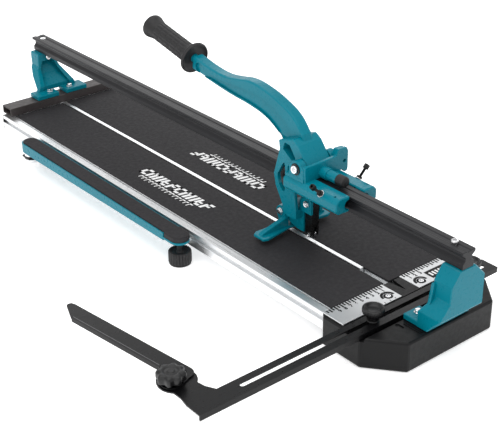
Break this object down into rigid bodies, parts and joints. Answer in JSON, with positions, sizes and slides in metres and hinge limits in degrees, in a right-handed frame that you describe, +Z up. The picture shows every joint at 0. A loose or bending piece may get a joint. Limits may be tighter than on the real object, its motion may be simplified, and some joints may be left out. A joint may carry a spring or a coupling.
{
  "type": "rail tile cutter",
  "caption": "Manual tile cutter with a bed, a guide rail, a sliding carriage with a tilting handle and scoring wheel, a breaker foot, side arms, a fence and an angle guide.",
  "frame": {"origin": "centre of the front base underside, on the floor, below the cutting line", "axes": "+Y along the rail from the front base to the rear, +X to the right, +Z up"},
  "size_m": [0.5439, 1.08, 0.3],
  "materials": {
    "teal_paint": "gloss",
    "moulded_base": "satin",
    "black_plastic": "satin",
    "black_steel": "satin",
    "anodised_rail": "satin",
    "deck_aluminium": "satin",
    "ruler_metal": "brushed",
    "bright_steel": "polished",
    "bed_rubber": "matte",
    "mat_rubber": "matte"
  },
  "bodies": {
    "bed": {"front_base": "moulded_base", "bed_plate": "deck_aluminium", "side_profile_left": "deck_aluminium", "side_profile_right": "deck_aluminium", "rear_cross_beam": "black_steel", "bed_foot_left": "bed_rubber", "bed_foot_right": "bed_rubber", "mat_left": "mat_rubber", "mat_right": "mat_rubber", "breaking_bar": "deck_aluminium", "ruler_left": "ruler_metal", "ruler_right": "ruler_metal", "ruler_screw_left": "bright_steel", "ruler_screw_right": "bright_steel", "guide_rail": "anodised_rail", "rear_support": "teal_paint", "front_support": "teal_paint", "rear_foot_bolt_left": "bright_steel", "rear_foot_bolt_right": "bright_steel", "front_foot_bolt": "bright_steel", "rail_screw_front": "black_steel", "rail_screw_rear": "bright_steel", "rear_clamp_bolt": "black_steel", "arm_cross_bar": "black_steel"},
    "carriage": {"carriage": "teal_paint", "pivot_bolt": "bright_steel", "bumper_plug": "bed_rubber", "adjuster_screw_left": "black_steel", "adjuster_screw_right": "black_steel", "bearing_screw_front_left": "bright_steel", "bearing_screw_front_right": "bright_steel", "bearing_screw_rear_left": "bright_steel", "bearing_screw_rear_right": "bright_steel"},
    "bearing_front_left": {"bearing_front_left": "bright_steel"},
    "bearing_front_right": {"bearing_front_right": "bright_steel"},
    "bearing_rear_left": {"bearing_rear_left": "bright_steel"},
    "bearing_rear_right": {"bearing_rear_right": "bright_steel"},
    "handle": {"handle_lever": "teal_paint", "rubber_grip": "bed_rubber", "wheel_holder": "black_steel", "wheel_holder_screw": "bright_steel", "wheel_axle": "bright_steel", "breaker_bolt": "bright_steel"},
    "cutting_wheel": {"cutting_wheel": "bright_steel"},
    "breaker_foot": {"breaker_foot": "teal_paint"},
    "arm_left": {"arm_left": "teal_paint", "arm_pad_left": "bed_rubber", "arm_pivot_left": "bright_steel"},
    "arm_foot_left": {"arm_foot_left": "bed_rubber"},
    "arm_right": {"arm_right": "teal_paint", "arm_pad_right": "bed_rubber", "arm_pivot_right": "bright_steel"},
    "arm_foot_right": {"arm_foot_right": "bed_rubber"},
    "fence": {"fence_bar": "black_steel"},
    "guide": {"guide_blade": "black_steel"},
    "guide_knob": {"guide_knob": "black_plastic"},
    "clamp_knob_near": {"clamp_knob_near": "black_plastic"},
    "clamp_knob_far": {"clamp_knob_far": "black_plastic"}
  },
  "joints": [
    {"name": "carriage_slide", "type": "slide", "parent": "bed", "child": "carriage", "axis": [0, 1, 0], "range_m": [-0.185, 0.58]},
    {"name": "bearing_front_left_spin", "type": "hinge", "parent": "carriage", "child": "bearing_front_left", "pos_m": [-0.0148, 0.149, 0.15075], "axis": [0, 0, 1], "continuous": true},
    {"name": "bearing_front_right_spin", "type": "hinge", "parent": "carriage", "child": "bearing_front_right", "pos_m": [0.0148, 0.149, 0.15075], "axis": [0, 0, 1], "continuous": true},
    {"name": "bearing_rear_left_spin", "type": "hinge", "parent": "carriage", "child": "bearing_rear_left", "pos_m": [-0.0148, 0.225, 0.15075], "axis": [0, 0, 1], "continuous": true},
    {"name": "bearing_rear_right_spin", "type": "hinge", "parent": "carriage", "child": "bearing_rear_right", "pos_m": [0.0148, 0.225, 0.15075], "axis": [0, 0, 1], "continuous": true},
    {"name": "handle_tilt", "type": "hinge", "parent": "carriage", "child": "handle", "pos_m": [0, 0.219, 0.179], "axis": [1, 0, 0], "range_deg": [0, 28]},
    {"name": "wheel_spin", "type": "hinge", "parent": "handle", "child": "cutting_wheel", "pos_m": [0, 0.2205, 0.0625], "axis": [1, 0, 0], "continuous": true},
    {"name": "breaker_rock", "type": "hinge", "parent": "handle", "child": "breaker_foot", "pos_m": [0, 0.277, 0.082], "axis": [1, 0, 0], "range_deg": [-3, 4]},
    {"name": "arm_left_swing", "type": "hinge", "parent": "bed", "child": "arm_left", "pos_m": [-0.1385, 0.811, 0.041], "axis": [0, 0, -1], "range_deg": [0, 95]},
    {"name": "arm_right_swing", "type": "hinge", "parent": "bed", "child": "arm_right", "pos_m": [0.1385, 0.811, 0.041], "axis": [0, 0, 1], "range_deg": [0, 95]},
    {"name": "arm_foot_left_turn", "type": "hinge", "parent": "arm_left", "child": "arm_foot_left", "pos_m": [-0.1385, 0.366, 0.01], "axis": [0, 0, 1], "continuous": true},
    {"name": "arm_foot_right_turn", "type": "hinge", "parent": "arm_right", "child": "arm_foot_right", "pos_m": [0.1385, 0.366, 0.01], "axis": [0, 0, 1], "continuous": true},
    {"name": "fence_slide", "type": "slide", "parent": "bed", "child": "fence", "axis": [1, 0, 0], "range_m": [-0.026, 0.205]},
    {"name": "guide_swing", "type": "hinge", "parent": "fence", "child": "guide", "pos_m": [-0.368, 0.067, 0.0497], "axis": [0, 0, 1], "range_deg": [-4, 45]},
    {"name": "guide_knob_turn", "type": "hinge", "parent": "fence", "child": "guide_knob", "pos_m": [-0.368, 0.067, 0.06], "axis": [0, 0, 1], "continuous": true},
    {"name": "clamp_knob_near_turn", "type": "hinge", "parent": "bed", "child": "clamp_knob_near", "pos_m": [-0.082, 0.009, 0.06], "axis": [0, 0, 1], "continuous": true},
    {"name": "clamp_knob_far_turn", "type": "hinge", "parent": "bed", "child": "clamp_knob_far", "pos_m": [0.108, 0.009, 0.06], "axis": [0, 0, 1], "continuous": true}
  ],
  "couplings": [
    {"joint": "bearing_front_left_spin", "follows": "carriage_slide", "rad_per_m": -125},
    {"joint": "bearing_front_right_spin", "follows": "carriage_slide", "rad_per_m": 125},
    {"joint": "bearing_rear_left_spin", "follows": "carriage_slide", "rad_per_m": -125},
    {"joint": "bearing_rear_right_spin", "follows": "carriage_slide", "rad_per_m": 125}
  ]
}
